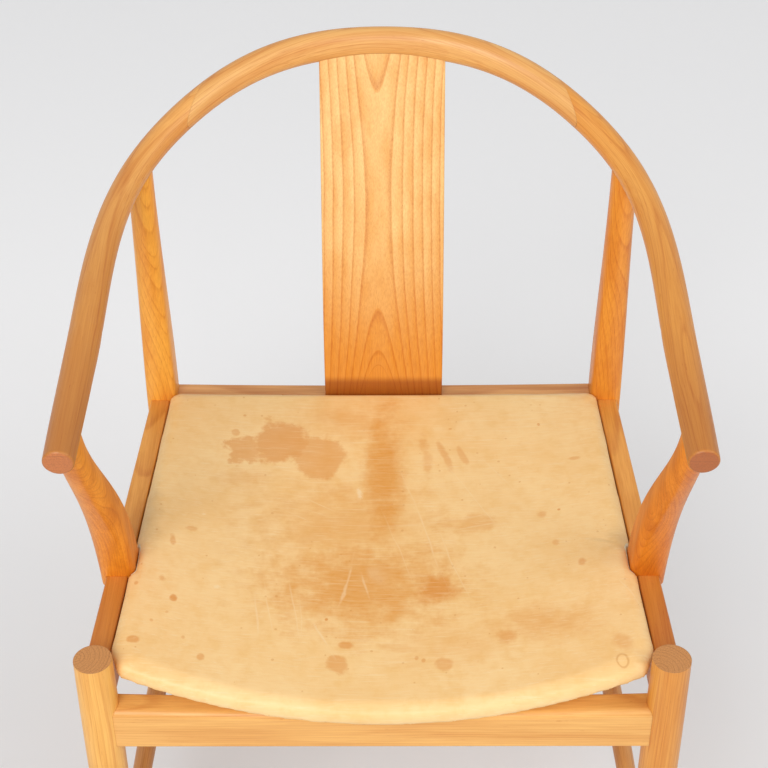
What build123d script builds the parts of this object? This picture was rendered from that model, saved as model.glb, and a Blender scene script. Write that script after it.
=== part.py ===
from build123d import *
from math import sqrt
import os

# A horseshoe-back armchair. X runs to the sitter's left, Y to the back, Z up,
# and the origin is the middle of the chair's footprint, on the floor.
# All sizes in mm.

os.makedirs("parts", exist_ok=True)

# ------------------------------------------------------------ legs
front_leg_spacing = 512.0      # between the two front leg axes, at the top
front_leg_height = 461.0       # the flat end-grain tops stand proud of the rails
front_leg_d = 34.4             # at the top
front_leg_belly_d = 36.0       # at the thickest place, below the front rail
front_leg_belly_z = 330.0
front_foot_d = 27.0
front_splay = 3.5              # how far each foot stands outside its top
leg_spare = 6.0                # turned this much too long, then sawn level

rear_leg_spacing = 486.0       # between the rear leg axes, at seat height
rear_leg_setback = 428.0       # rear leg axis behind the front leg axis, at seat height
rear_seat_w = 34.0             # rounded square where the rails meet it
rear_seat_fullness = 0.86      # its corners stand this share of the half width out
joint_margin = 19.0            # it keeps that section this far above and below the rails
round_fullness = 0.72          # nearly round, as shaved by hand
rear_foot_d = 27.0
rear_foot_rake = 24.0          # the foot stands this far behind the seat joint
rear_foot_splay = 6.0
rear_top_d = 25.0              # round again inside the arm bow
rear_top_setback = 386.0

# ------------------------------------------------------------ horseshoe rail
arm_end_x = 262.0              # half the distance between the arm centre lines
arm_end_setback = 12.0         # arm end behind the front leg axis
arm_end_z = 676.0
arm_end_fall = 0.11            # how steeply the arm still falls at its end
crest_ease = 1.3               # how long the crest runs straight at its middle
arm_d = 26.6                   # round arms
bow_mid = (260.5, 170.0, 695.5)       # the arm runs on almost straight
bow_shoulder = (254.3, 316.0, 720.5)  # starts to turn in
bow_turn = (231.6, 394.0, 741.0)      # over the rear leg
bow_quarter = (179.5, 459.5, 770.5)   # at the scarf joint
crest_setback = 518.5
crest_z = 805.5                # centre line at the highest place
crest_deep = 26.0              # the crest is taller than it is deep
crest_tall = 31.0
crest_ridge = 1.4              # soft ridge along the upper outer side
crest_flat = 1.2               # the face that meets the sitter's back is flattened
arm_end_round = 2.6            # softened rim of the arm ends
scarf_angle = 27.0             # between the scarf face and the run of the rail
scarf_reach = 60.0             # the scarf cut runs this far each way from its middle

# ------------------------------------------------------------ seat rails
rail_t = 24.0                  # front and back rails
side_rail_t = 20.5
leg_top_proud = 19.5           # front leg tops stand above the side rails
side_rail_fall = 9.0           # the side rails slope down this far to the back
side_rail_out = 1.8            # their front ends stand outside the leg axis
side_rail_h = 54.0
front_rail_drop = 103.0        # from the leg's top down to the front rail's lower edge
front_rail_h = 47.0            # at its ends
front_rail_dip = 5.0           # its top is hollowed towards the middle
front_rail_round = 7.0
back_rail_rise = 1.0           # its ends stand above the side rails
back_rail_h = 50.0
back_rail_dip = 2.5
rail_edge = 1.8                # softened long edges

tenon_t = 8.0                  # rail tenons
tenon_len = 11.0
tenon_shoulder = 8.0           # tenon stops this far from the rail's top and bottom
glue_gap = 0.1                 # room round every tenon

# ------------------------------------------------------------ arm posts
post_setback = 145.5           # middle of the foot, behind the front leg axis
post_foot_w = 34.0
post_foot_corner = 6.0
post_foot_lean = 0.12          # it leans forward a little from the start
post_cheek = 12.0              # each cheek laps this far down the side rail
post_knee_up = 58.0            # above the side rail it is nearly upright up to here
post_knee_setback = 132.0
post_knee_w = 33.4
post_neck_z = 585.0
post_neck_setback = 91.5
post_neck_w = 29.5
post_top_setback = 47.0
post_top_d = 24.8
post_ease = 1.0                # its section starts to round this early
post_flat = 2.4                # half of each small flat left at the top
peg_d = 15.0                   # round tenons of posts and rear legs in the rail
peg_len = 9.0                  # how far they go past the rail's centre line
peg_root = 1.3                 # and how far they reach down, in half thicknesses of the arm

# ------------------------------------------------------------ back splat
splat_w = 127.4
splat_t = 11.0
splat_foot_ahead = 4.5         # its foot stands this far in front of the back rail's middle
# Its side view bends through three points: setback behind the foot, height above the rail.
splat_low_bend = (5.0, 89.0)
splat_lumbar = (25.5, 169.0)
splat_high_bend = (60.5, 274.0)
splat_head_in = 4.0            # its head meets the crest this far in front of the middle
splat_head_up = 7.0            # and stops this far below the crest's centre line
splat_tongue = 9.0             # let into the back rail
splat_edge = 1.5

# ------------------------------------------------------------ stretchers
stretcher_z = 160.0
stretcher_d = 21.0             # in the middle
stretcher_end_d = 15.0
stretcher_tenon = 12.0         # how far the ends go into the legs
stretcher_neck = 3.0           # straight a little way outside them
cross_stretcher_d = 20.0
cross_end_d = 13.0
cross_tenon = 8.0              # how far its ends go into the side stretchers

# ------------------------------------------------------------ seat
seat_gap = 1.5                 # between the seat and the rails beside it
post_gap = 1.0                 # between the notches in its sides and the arm posts
post_slide_gap = 3.5           # in front of and behind the posts, to lift it past their lean
seat_t = 18.0                  # board, foam and leather together
board_t = 8.0
leather_t = 1.6
seat_proud = 10.0              # its upper edge above the side rails
seat_dish_back = 1.5           # how far the middle lies below the edges
seat_dish_mid = 25.0
seat_dish_front = 34.5
seat_bow = 31.0                # the front edge bows this far forward
seat_corner_setback = 4.0      # front corners behind the front leg axis
seat_ease_setback = 26.0       # the sides draw in from here to pass the front legs
seat_ease_r = 20.0             # rounding of that bend
seat_rear_corner = 13.0
seat_front_corner = 10.0
seat_least_corner = 2.0        # of the opening in the leather underneath
seat_side_spare = 10.0         # the dished form is made this much too wide and too long
seat_far_spare = 20.0          # and this much too long in front, then cut to the outline
seat_nose = 6.4                # rounding of the upper edge
seat_under = 4.0               # rounding of the lower edge
rest_gap = 0.3                 # under the seat, where it rests
leather_turn = 32.0            # leather turned in under the board
cleat_t = 12.0
cleat_h = 16.0
cleat_end = 26.0               # cleats stop this far from the legs
cleat_under = 2.0              # their tops lie this far under the seat's edge
cleat_rise = 3.0               # side cleats start this much taller and are cut to the dish

# ------------------------------------------------------------ derived places
seat_front = seat_corner_setback - seat_bow
rail_back = crest_setback + crest_deep / 2 + crest_ridge * 0.8
y0 = -(seat_front + rail_back) / 2      # the front leg axis, seen from the origin
leg_x = front_leg_spacing / 2
rear_x = rear_leg_spacing / 2
side_front_x = leg_x + side_rail_out
side_rail_front_z = front_leg_height - leg_top_proud
side_rail_back_z = side_rail_front_z - side_rail_fall
back_rail_top_z = side_rail_back_z + back_rail_rise
front_rail_bottom_z = front_leg_height - front_rail_drop


def side_x(setback):
    """Centre line of the side rail, from front leg to rear leg."""
    return side_front_x + (rear_x - side_front_x) * setback / rear_leg_setback


def side_z(setback):
    """Top edge of the side rail."""
    return side_rail_front_z - side_rail_fall * setback / rear_leg_setback


def at(x, setback, z):
    return Vector(x, y0 + setback, z)


def mirrored(solid):
    return mirror(solid, about=Plane.YZ)


def largest(shape):
    return max(shape.solids(), key=lambda solid: solid.volume)


# ============================================================ front legs
leg_tilt = Plane(origin=at(leg_x, 0, front_leg_height),
                 z_dir=Vector(-front_splay, 0, front_leg_height).normalized(),
                 x_dir=(0, 1, 0))
leg_low = -front_leg_height - leg_spare


def front_leg():
    r_top, r_belly, r_foot = front_leg_d / 2, front_leg_belly_d / 2, front_foot_d / 2
    side = Spline((r_top, leg_spare), (r_belly, front_leg_belly_z - front_leg_height),
                  (r_foot, leg_low))
    outline = Polyline((r_foot, leg_low), (0, leg_low), (0, leg_spare), (r_top, leg_spare))
    turned = revolve(Plane.XZ * make_face(side + outline), Axis.Z)
    turned = leg_tilt * turned
    around = 4 * front_leg_belly_d
    return turned & Pos(leg_x, y0, front_leg_height / 2) * Box(around, around, front_leg_height)


front_leg_body = front_leg()

# ============================================================ horseshoe rail
# One smooth line from the middle of the crest to the end of the right arm.
bow_line = Spline(at(0, crest_setback, crest_z),
                  *[at(*p) for p in (bow_quarter, bow_turn, bow_shoulder, bow_mid)],
                  at(arm_end_x, arm_end_setback, arm_end_z),
                  tangents=[(1, 0, 0), (0, -1, -arm_end_fall)],
                  tangent_scalars=(crest_ease, 1))


def bow_at(setback):
    """The point of the centre line that has a given setback."""
    low, high = 0.0, 1.0
    for _ in range(40):
        mid = (low + high) / 2
        low, high = (mid, high) if (bow_line @ mid).Y > y0 + setback else (low, mid)
    return bow_line @ low, bow_line % low


def rail_section(u, deep, tall, ridge, flat):
    """Closed section across the rail: x points out of the horseshoe, y up."""
    run = bow_line % u
    out = Vector(-run.Y, run.X, 0).normalized()
    plane = Plane(origin=bow_line @ u, x_dir=out, z_dir=run * -1)
    a, b, c = deep / 2, tall / 2, sqrt(0.5)
    pts = [(a, 0), (a * c + ridge, b * c + ridge), (0, b), (-a * c + flat * 0.6, b * c),
           (-a + flat, 0), (-a * c + flat * 0.6, -b * c), (0, -b), (a * c, -b * c)]
    return plane * make_face(Spline(*pts, periodic=True))


crest_shape = (crest_deep, crest_tall, crest_ridge, crest_flat)
rail_half = sweep(
    sections=[rail_section(0, *crest_shape),
              rail_section(0.12, *crest_shape),
              rail_section(0.42, arm_d, arm_d, 0, 0),
              rail_section(1, arm_d, arm_d, 0, 0)],
    path=bow_line, multisection=True)

# Scarf joints: one long slanting face each, the arm bow lapping outside the crest.
scarf_mid, scarf_run = bow_at(bow_quarter[1])
ahead = Vector(scarf_run.X, scarf_run.Y, 0).normalized()
ahead = ahead.rotate(Axis.Z, -scarf_angle)
scarf_back, scarf_front = scarf_mid - ahead * scarf_reach, scarf_mid + ahead * scarf_reach
far = 2 * arm_end_x
arm_zone = extrude(make_face(Polyline(
    (scarf_back.X, scarf_back.Y), (scarf_front.X, scarf_front.Y),
    (scarf_front.X, -far), (far, -far), (far, scarf_back.Y), close=True)), 2 * crest_z)

arm_bow = rail_half & arm_zone
crest_half = rail_half - arm_zone
arm_tip = arm_bow.faces().sort_by(Axis.Y)[0]
arm_bow = fillet(arm_tip.edges(), arm_end_round)
crest = crest_half + mirrored(crest_half)

# ============================================================ rear legs
rear_top, _ = bow_at(rear_top_setback)


def rear_axis(z):
    """The leg is raked back below the seat and leans forward above it."""
    if z < side_rail_back_z:
        k = 1 - z / side_rail_back_z
        return at(rear_x + rear_foot_splay * k, rear_leg_setback + rear_foot_rake * k, z)
    k = (z - side_rail_back_z) / (rear_top.Z - side_rail_back_z)
    seat = at(rear_x, rear_leg_setback, side_rail_back_z)
    return seat + (rear_top - seat) * k


def rear_section(z, width, fullness):
    """Smooth section: fullness 0.71 is round, towards 1 it squares up."""
    a = width / 2
    c = a * fullness
    pts = [(a, 0), (c, c), (0, a), (-c, c), (-a, 0), (-c, -c), (0, -a), (c, -c)]
    return Plane(rear_axis(z)) * make_face(Spline(*pts, periodic=True))


joint_low = side_rail_back_z - side_rail_h - joint_margin
joint_high = side_rail_back_z + joint_margin
rear_leg_body = loft([
    rear_section(0, rear_foot_d, round_fullness),
    rear_section(joint_low, rear_seat_w, rear_seat_fullness),
    rear_section(joint_high, rear_seat_w, rear_seat_fullness),
    rear_section((joint_high + rear_top.Z) / 2, (rear_seat_w + rear_top_d) / 2,
                 (rear_seat_fullness + 2 * round_fullness) / 3),
    rear_section(rear_top.Z, rear_top_d, round_fullness)])

# ============================================================ arm posts
post_x = side_x(post_setback)
post_top, _ = bow_at(post_top_setback)


def post_point(setback, z):
    """The post leans out evenly from its foot to the arm."""
    k = (post_setback - setback) / (post_setback - post_top_setback)
    return at(post_x + (post_top.X - post_x) * k, setback, z)


post_rail_z = side_z(post_setback)
post_foot_z = post_rail_z - post_cheek
post_line = Spline(post_point(post_setback + post_cheek * post_foot_lean, post_foot_z),
                   post_point(post_knee_setback, post_rail_z + post_knee_up),
                   post_point(post_neck_setback, post_neck_z),
                   post_top,
                   tangents=[(0, -post_foot_lean, 1), (0, -0.25, 1)])


def post_section(u, width, corner):
    run = post_line % u
    across = Plane(origin=post_line @ u, x_dir=(1, 0, 0), z_dir=run)
    return across * RectangleRounded(width, width, corner)


post_body = loft([
    post_section(0, post_foot_w, post_foot_corner),
    post_section(0.16, post_foot_w, post_foot_corner + post_ease),
    post_section(0.36, post_knee_w, (post_foot_corner + post_knee_w / 2) / 2),
    post_section(0.65, post_neck_w, post_neck_w / 2 - post_ease),
    post_section(1, post_top_d, post_top_d / 2 - post_flat)])

# ============================================================ seat rails
side_run = at(rear_x, rear_leg_setback, 0) - at(side_front_x, 0, 0)
side_len = side_run.length
side_plane = Plane(origin=at(side_front_x, 0, 0), x_dir=side_run,
                   z_dir=(side_run.Y, -side_run.X, 0))
side_face = side_plane * make_face(Polyline(
    (0, side_rail_front_z), (side_len, side_rail_back_z),
    (side_len, side_rail_back_z - side_rail_h), (0, side_rail_front_z - side_rail_h), close=True))
side_rail = extrude(side_face, side_rail_t / 2, both=True)
long_edges = [e for e in side_rail.edges() if e.length > side_len / 2]
side_rail_body = fillet(long_edges, rail_edge)

front_top_z = front_rail_bottom_z + front_rail_h
front_face = Plane(at(0, 0, 0), x_dir=(1, 0, 0), z_dir=(0, -1, 0)) * make_face(
    Polyline((-leg_x, front_top_z), (-leg_x, front_rail_bottom_z),
             (leg_x, front_rail_bottom_z), (leg_x, front_top_z))
    + Spline((leg_x, front_top_z), (0, front_top_z - front_rail_dip), (-leg_x, front_top_z)))
front_rail = extrude(front_face, rail_t / 2, both=True)
long_edges = [e for e in front_rail.edges() if e.length > leg_x]
brow = min(long_edges, key=lambda e: (round((e @ 0.5).Y, 3), -(e @ 0.5).Z))
front_rail = fillet(brow, front_rail_round)
long_edges = [e for e in front_rail.edges()
              if e.length > leg_x and abs(abs((e @ 0.5).Y - y0) - rail_t / 2) < 0.01
              and ((e @ 0.5).Z < front_rail_bottom_z + 1 or (e @ 0.5).Y > y0)]
front_rail_body = fillet(long_edges, rail_edge)

back_face = Plane(at(0, rear_leg_setback, 0), x_dir=(1, 0, 0), z_dir=(0, -1, 0)) * make_face(
    Polyline((-rear_x, back_rail_top_z), (-rear_x, back_rail_top_z - back_rail_h),
             (rear_x, back_rail_top_z - back_rail_h), (rear_x, back_rail_top_z))
    + Spline((rear_x, back_rail_top_z), (0, back_rail_top_z - back_rail_dip),
             (-rear_x, back_rail_top_z)))
back_rail = extrude(back_face, rail_t / 2, both=True)
long_edges = [e for e in back_rail.edges() if e.length > rear_x]
back_rail_body = fillet(long_edges, rail_edge)


def rail_tenon(root, run, z_mid, rail_h, grow=0.0):
    """Flat tenon whose end lies tenon_len inside the leg face at root."""
    plane = Plane(origin=Vector(root.X, root.Y, z_mid), x_dir=run, z_dir=(0, 0, 1))
    length = 2 * tenon_len
    return plane * Box(length + 2 * grow, tenon_t + 2 * grow,
                       rail_h - 2 * tenon_shoulder + 2 * grow)


front_leg_r = front_leg_belly_d / 2
side_dir = side_run.normalized()
side_front_root = at(side_front_x, 0, 0) + side_dir * front_leg_r
side_back_root = at(rear_x, rear_leg_setback, 0) - side_dir * rear_seat_w / 2
front_root = at(leg_x - front_leg_r, 0, 0)
back_root = at(rear_x - rear_seat_w / 2, rear_leg_setback, 0)
side_front_mid = side_rail_front_z - side_rail_h / 2
side_back_mid = side_rail_back_z - side_rail_h / 2
front_mid = front_rail_bottom_z + front_rail_h / 2
back_mid = back_rail_top_z - back_rail_h / 2
x_dir = Vector(1, 0, 0)


def tenons(grow=0.0):
    return (rail_tenon(side_front_root, side_dir, side_front_mid, side_rail_h, grow),
            rail_tenon(side_back_root, side_dir, side_back_mid, side_rail_h, grow),
            rail_tenon(front_root, x_dir, front_mid, front_rail_h, grow),
            rail_tenon(back_root, x_dir, back_mid, back_rail_h, grow))


tenon_sf, tenon_sb, tenon_f, tenon_b = tenons()
mortise_sf, mortise_sb, mortise_f, mortise_b = tenons(glue_gap)

# ============================================================ splat
splat_foot_setback = rear_leg_setback - splat_foot_ahead
splat_rail_z = back_rail_top_z - back_rail_dip
splat_foot_z = splat_rail_z - splat_tongue


def splat_solid(grow):
    line = Spline(at(0, splat_foot_setback, splat_foot_z - grow),
                  *[at(0, splat_foot_setback + back, splat_rail_z + up)
                    for back, up in (splat_low_bend, splat_lumbar, splat_high_bend)],
                  at(0, crest_setback - splat_head_in, crest_z - splat_head_up + grow))
    section = Plane(origin=line @ 0, x_dir=(1, 0, 0), z_dir=line % 0) * Rectangle(
        splat_w + 2 * grow, splat_t + 2 * grow)
    return sweep(section, path=line)


splat_body = splat_solid(0)
long_edges = [e for e in splat_body.edges() if e.length > splat_w * 2]
splat = fillet(long_edges, splat_edge)
splat_housing = splat_solid(glue_gap)

# ============================================================ stretchers
low_k = 1 - stretcher_z / front_leg_height
front_low = at(leg_x + front_splay * low_k, 0, stretcher_z)
rear_low = rear_axis(stretcher_z)
low_run = (rear_low - front_low).normalized()


def turned(start, end, end_d, mid_d, grow=0.0):
    """A bar that swells from straight ends towards its middle."""
    length = (end - start).length
    r, m, t = end_d / 2 + grow, mid_d / 2 + grow, stretcher_tenon + stretcher_neck
    outline = (Spline((r, t), (m, length / 2), (r, length - t))
               + Polyline((r, length - t), (r, length + grow), (0, length + grow),
                          (0, -grow), (r, -grow), (r, t)))
    bar = revolve(make_face(outline), Axis.Y)
    return Plane(origin=start, x_dir=(0, 0, 1), z_dir=end - start) * Rot(X=90) * bar


def side_bar(grow=0.0):
    reach = front_leg_d / 2 - stretcher_tenon
    rear_reach = rear_foot_d / 2 - stretcher_tenon
    return turned(front_low + low_run * reach, rear_low - low_run * rear_reach,
                  stretcher_end_d, stretcher_d, grow)


cross_mid = (front_low + rear_low) / 2
cross_reach = stretcher_d / 2 - cross_tenon


def cross_bar(grow=0.0):
    right = cross_mid - Vector(cross_reach, 0, 0)
    left = Vector(-right.X, right.Y, right.Z)
    return turned(left, right, cross_end_d, cross_stretcher_d, grow)


side_stretcher = side_bar() - cross_bar(glue_gap)
cross_stretcher = cross_bar()

# ============================================================ pegs, mortises and scribed shoulders
def peg(top, run, grow=0.0):
    """Round tenon through the underside of the arm bow, stopping short of its top."""
    rooted = arm_d / 2 * peg_root
    plane = Plane(origin=top - run * rooted, z_dir=run)
    return plane * Cylinder(peg_d / 2 + grow, rooted + peg_len + grow,
                            align=(Align.CENTER, Align.CENTER, Align.MIN))


rear_run = (rear_axis(rear_top.Z) - rear_axis(joint_high)).normalized()
post_run = post_line % 1
rear_leg_top = largest(rear_leg_body - arm_bow) + peg(rear_top, rear_run)
post_scribed = largest(post_body - arm_bow) + peg(post_top, post_run)
arm_bow = arm_bow - peg(rear_top, rear_run, glue_gap) - peg(post_top, post_run, glue_gap)
crest = crest - splat_housing

bars = side_bar(glue_gap)
front_leg_piece = front_leg_body - mortise_sf - mortise_f - bars
rear_leg_piece = rear_leg_top - mortise_sb - mortise_b - bars

side_rail_piece = largest(side_rail_body - front_leg_body - rear_leg_body)
post_bare = post_scribed - side_rail
side_rail_piece = side_rail_piece + tenon_sf + tenon_sb
front_rail_piece = largest(front_rail_body - front_leg_body - mirrored(front_leg_body))
front_rail_piece = front_rail_piece + tenon_f + mirrored(tenon_f)
back_rail_piece = largest(back_rail_body - rear_leg_body - mirrored(rear_leg_body))
back_rail_piece = back_rail_piece + tenon_b + mirrored(tenon_b) - splat_housing

# ============================================================ seat
seat_back_setback = rear_leg_setback - rail_t / 2 - seat_gap
seat_mid_setback = seat_back_setback / 2
seat_far_setback = seat_front - seat_far_spare


def seat_half_w(setback):
    return side_x(setback) - side_rail_t / 2 - seat_gap


def seat_edge_z(setback):
    """Upper edge of the seat beside the side rails."""
    return side_z(setback) + seat_proud


def seat_layer(upper, lower):
    """The dished form between two depths below the seat's surface."""
    sections = []
    for setback, dish in ((seat_back_setback + seat_side_spare, seat_dish_back),
                          (seat_mid_setback, seat_dish_mid),
                          (seat_far_setback, seat_dish_front)):
        edge = seat_half_w(setback)
        w = edge + seat_side_spare
        z = seat_edge_z(setback) + dish * ((w / edge) ** 2 - 1)
        top, bottom = z - upper, z - lower
        profile = (ThreePointArc((-w, top), (0, top - dish), (w, top))
                   + Line((w, top), (w, bottom))
                   + ThreePointArc((w, bottom), (0, bottom - dish), (-w, bottom))
                   + Line((-w, bottom), (-w, top)))
        plane = Plane(at(0, setback, 0), x_dir=(1, 0, 0), z_dir=(0, -1, 0))
        sections.append(plane * make_face(profile))
    return loft(sections)


def seat_outline(inset):
    """Plan of the seat: straight at the back, bowed in front, narrower beside the front legs."""
    back, ease, corner = (seat_back_setback - inset, seat_ease_setback + inset,
                          seat_corner_setback + inset)
    w_back, w_ease = seat_half_w(back) - inset, seat_half_w(ease) - inset
    w_front = leg_x - front_leg_r - seat_gap - inset
    front = corner - seat_bow
    edge = (Polyline((-w_front, corner), (-w_ease, ease), (-w_back, back),
                     (w_back, back), (w_ease, ease), (w_front, corner))
            + ThreePointArc((w_front, corner), (0, front), (-w_front, corner)))
    face = make_face(edge)
    rear = max(seat_rear_corner - inset, seat_least_corner)
    fore = max(seat_front_corner - inset, seat_least_corner)
    face = fillet([v for v in face.vertices() if abs(v.Y - ease) < 0.01], seat_ease_r)
    face = fillet([v for v in face.vertices() if v.Y > back - 1], rear)
    face = fillet([v for v in face.vertices() if abs(v.Y - corner) < 0.01
                   and abs(abs(v.X) - w_front) < 0.01], fore)
    return Pos(0, y0, 0) * face


def seat_column(inset):
    return extrude(seat_outline(inset), 2 * front_leg_height)


def seat_form(inset):
    solid = seat_layer(inset, seat_t - inset) & seat_column(inset)
    below, _ = solid.faces().sort_by(SortBy.AREA)[-2:].sort_by(Axis.Z)
    solid = fillet(below.edges(), seat_under - inset)
    _, above = solid.faces().sort_by(SortBy.AREA)[-2:].sort_by(Axis.Z)
    return fillet(above.edges(), seat_nose - inset)


def seat_bed():
    """Room for the seat: its own form, a little larger below and open above."""
    return seat_layer(-far, seat_t + rest_gap) & seat_column(-rest_gap)


post_notch = Pos(post_x, y0 + post_setback, post_rail_z) * extrude(
    RectangleRounded(post_foot_w + 2 * post_gap, post_foot_w + 2 * post_slide_gap,
                     post_foot_corner), far / 2, both=True)


def notched(solid):
    return solid - post_notch - mirrored(post_notch)


seat_skin = notched(seat_form(0))
seat_core = notched(seat_form(leather_t))
board_zone = seat_layer(seat_t - leather_t - board_t, seat_t + board_t)
seat_board = seat_core & board_zone
seat_foam = seat_core - board_zone
underside = seat_column(leather_turn) & seat_layer(seat_t - leather_t, seat_t + board_t)
seat_leather = seat_skin - seat_core - underside

bed = seat_bed()
front_rail_piece = front_rail_piece - bed
back_rail_piece = back_rail_piece - bed

# ============================================================ cleats under the seat
cleat_start = front_leg_r + cleat_end
cleat_stop = side_len - rear_seat_w / 2 - cleat_end
cleat_drop = seat_t + cleat_under
cleat_face = side_plane * make_face(Polyline(
    (cleat_start, seat_edge_z(cleat_start) - cleat_drop + cleat_rise),
    (cleat_stop, seat_edge_z(cleat_stop) - cleat_drop + cleat_rise),
    (cleat_stop, seat_edge_z(cleat_stop) - cleat_drop - cleat_h),
    (cleat_start, seat_edge_z(cleat_start) - cleat_drop - cleat_h), close=True))
inward = side_plane.z_dir if side_plane.z_dir.X < 0 else side_plane.z_dir * -1
cleat = extrude(cleat_face, cleat_t, dir=inward)
cleat = Pos(*(inward * side_rail_t / 2)) * cleat
cleat = largest(cleat - bed - post_bare)

back_cleat_half = rear_x - rear_seat_w / 2 - cleat_t - cleat_end
back_cleat = Pos(0, y0 + rear_leg_setback - rail_t / 2 - cleat_t / 2,
                 seat_edge_z(seat_back_setback) - cleat_drop - cleat_h / 2) * Box(
    2 * back_cleat_half, cleat_t, cleat_h)
back_cleat = largest(back_cleat - bed)

# ============================================================ parts
parts = {
    "crest_rail": crest,
    "arm_bow_left": arm_bow,
    "rear_leg_left": rear_leg_piece,
    "front_leg_left": front_leg_piece,
    "arm_post_left": post_bare,
    "side_rail_left": side_rail_piece,
    "seat_rail_front": front_rail_piece,
    "seat_rail_back": back_rail_piece,
    "back_splat": splat,
    "side_stretcher_left": side_stretcher,
    "cross_stretcher": cross_stretcher,
    "seat_cleat_left": cleat,
    "seat_cleat_back": back_cleat,
    "seat_board": seat_board,
    "seat_foam": seat_foam,
    "seat_leather": seat_leather,
}
for name in [n for n in parts if n.endswith("_left")]:
    parts[name.replace("_left", "_right")] = mirrored(parts[name])

for name, shape in parts.items():
    export_step(shape, f"parts/{name}.step")
    box = shape.bounding_box()
    print(name, len(shape.solids()), round(shape.volume), shape.is_valid,
          [round(v, 1) for v in (*box.min, *box.max)])
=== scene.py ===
# %% [markdown]
# # A horseshoe-back armchair in oiled cherry
# The frame of the chair comes ready as exact solids: legs, rails, splat, posts
# and the long bent rail. Blender's work is everything the eye judges first:
# the grain of each stick, the loose leather seat, the light and the camera.
# All lengths are in metres, and the chair faces -Y.

# %% Load the chair's frame
import bpy, bmesh, math, random
from mathutils import Matrix, Vector
from mathutils.geometry import convex_hull_2d


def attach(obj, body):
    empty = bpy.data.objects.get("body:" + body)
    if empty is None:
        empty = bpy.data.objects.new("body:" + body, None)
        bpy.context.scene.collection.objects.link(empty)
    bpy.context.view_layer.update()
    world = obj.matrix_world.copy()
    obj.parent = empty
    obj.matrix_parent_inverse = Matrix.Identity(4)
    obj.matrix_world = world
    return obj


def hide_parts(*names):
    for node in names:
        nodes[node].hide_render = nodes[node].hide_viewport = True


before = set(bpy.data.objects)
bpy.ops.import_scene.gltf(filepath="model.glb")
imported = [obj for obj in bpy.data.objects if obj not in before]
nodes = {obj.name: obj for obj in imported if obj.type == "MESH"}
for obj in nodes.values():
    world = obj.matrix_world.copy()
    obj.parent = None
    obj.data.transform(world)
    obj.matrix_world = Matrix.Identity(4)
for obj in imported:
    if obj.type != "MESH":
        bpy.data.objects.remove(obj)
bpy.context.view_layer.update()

scene = bpy.context.scene
scene.view_settings.view_transform = "Standard"
MM = 0.001

# %% [markdown]
# ## Two small helpers
# Colours are easiest to pick as the hex values of a colour picker, but shaders
# work in linear light, so one function converts them. A second function adds
# a shader node with its settings and links and hands back one of its outputs,
# which keeps every material short enough to read. Where inputs of a node share
# a name, they go by their number.

# %% Colour and node helpers
def srgb(hex_code):
    parts = [int(hex_code[i:i + 2], 16) / 255 for i in (1, 3, 5)]
    linear = [c / 12.92 if c <= 0.04045 else ((c + 0.055) / 1.055) ** 2.4 for c in parts]
    return (*linear, 1.0)


def add(tree, kind, inputs=None, out=0, **settings):
    node = tree.nodes.new("ShaderNode" + kind)
    for name, value in settings.items():
        setattr(node, name, value)
    for socket, value in (inputs or {}).items():
        if isinstance(value, bpy.types.NodeSocket):
            tree.links.new(value, node.inputs[socket])
        else:
            node.inputs[socket].default_value = value
    return node.outputs[out] if node.outputs else node


def new_material(name):
    material = bpy.data.materials.new(name)
    material.use_nodes = True
    material.node_tree.nodes.clear()
    return material, material.node_tree


SMOOTH = {"interpolation_type": "SMOOTHSTEP"}
COLOUR = {"data_type": "RGBA", "out": 2}       # a Mix of colours: share 0, colours 6 and 7
print("honey orange in linear light:", [round(c, 3) for c in srgb("#F2B571")])

# %% [markdown]
# ## Cherry, cut from a tree
# Real wood is solid all through, so its figure is best made as a 3-D pattern:
# rings round the heart of a tree, stretched along the trunk. Each stick is laid
# in that tree its own way. Its sides then show long quiet stripes and its sawn
# ends show arcs, with no picture wrapped round it. The rings wander slowly, as a
# real trunk does, and the wander is kept long in the direction of the grain.

# %% Lay a stick in its tree
WANDER_RATE = (0.018, 0.018, 0.0034)   # per mm: across, across and along the trunk


def in_millimetres(tree):
    place = add(tree, "TexCoord", out="Object")
    return add(tree, "VectorMath", {0: place, 3: 1 / MM}, operation="SCALE")


def laid_in_tree(tree, position, heart, turn, wander):
    """The position in mm, with the trunk along Z and its heart on the Z axis."""
    laid = add(tree, "Mapping", {0: position, 1: heart, 2: [math.radians(a) for a in turn]})
    slow = add(tree, "VectorMath", {0: laid, 1: WANDER_RATE}, operation="MULTIPLY")
    drift = add(tree, "TexNoise", {"Vector": slow, "Scale": 1.0, "Detail": 2.0}, out="Color")
    return add(tree, "VectorMath", {0: drift, 1: (wander, wander, 0), 2: laid},
               operation="MULTIPLY_ADD")


print("wander of the rings: a turn of about", round(1 / WANDER_RATE[2]), "mm along the grain")

# %% [markdown]
# The horseshoe rail is bent, so its grain bends too. For those pieces the
# position is first unrolled: the distance from the bend's centre stands for
# "across", and the way round the bend stands for "along". In front of that
# centre the arms run straight on, and the two ways meet there without a step.
# The rail also falls from its crest to the arm ends, like the side of a bell, so
# heights are measured from that curve and the rings don't cross the arms.

# %% Unroll the horseshoe
BEND_CENTRE = 9.0      # mm behind the origin
BEND_RADIUS = 257.0    # mm
ARM_FRONT = 241.0      # mm in front of the origin, about where the arms end
BELL_HEIGHT, BELL_WIDTH = 170.0, 345.0     # mm, of the curve by which the rail falls


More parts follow.
